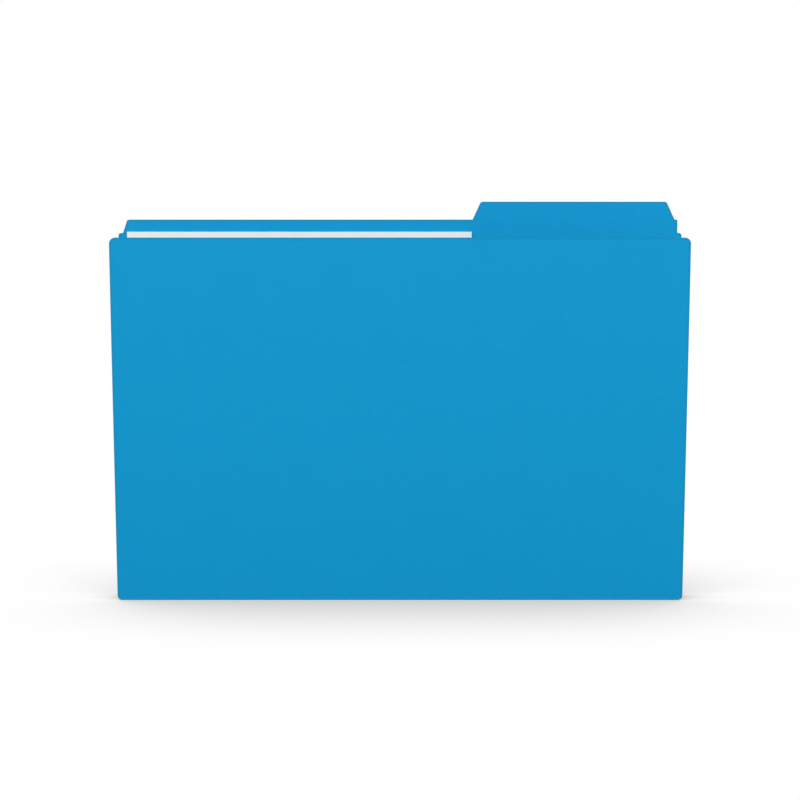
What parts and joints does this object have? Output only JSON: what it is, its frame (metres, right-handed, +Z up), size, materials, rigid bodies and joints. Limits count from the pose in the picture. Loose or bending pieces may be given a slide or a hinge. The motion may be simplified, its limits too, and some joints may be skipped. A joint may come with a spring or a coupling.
{
  "type": "file folder",
  "caption": "Top-tab file folder of blue card standing slightly open on its flat scored base, with hinged front and back covers and a lift-out sheaf of plain sheets.",
  "frame": {"origin": "centre of the base's underside, on the surface that the folder stands on", "axes": "+X along the folds, to the right as seen from the front; +Y from the front cover towards the back cover; +Z up"},
  "size_m": [0.345, 0.0427, 0.2424],
  "materials": {
    "card": "matte dyed card with a faint fibre grain",
    "sheet_paper": "matte white office paper"
  },
  "bodies": {
    "base": {"base_front_strip": "card", "base_middle_strip": "card", "base_rear_strip": "card", "front_fold": "card", "rear_fold": "card"},
    "front_cover": {"front_cover": "card"},
    "back_cover": {"back_cover": "card"},
    "sheets": {"sheet_1": "sheet_paper", "sheet_2": "sheet_paper", "sheet_3": "sheet_paper", "sheet_4": "sheet_paper", "sheet_5": "sheet_paper", "sheet_6": "sheet_paper", "sheet_7": "sheet_paper", "sheet_8": "sheet_paper"}
  },
  "joints": [
    {"name": "front_cover_fold", "type": "hinge", "parent": "base", "child": "front_cover", "pos_m": [0, -0.00953, 0.00025], "axis": [1, 0, 0], "range_deg": [-8, 85.63]},
    {"name": "back_cover_fold", "type": "hinge", "parent": "base", "child": "back_cover", "pos_m": [0, 0.00953, 0.00025], "axis": [-1, 0, 0], "range_deg": [-1.48, 88.52]},
    {"name": "sheets_lift", "type": "slide", "parent": "back_cover", "child": "sheets", "axis": [0, 0.0258, 0.9997], "range_m": [0, 0.245]}
  ]
}
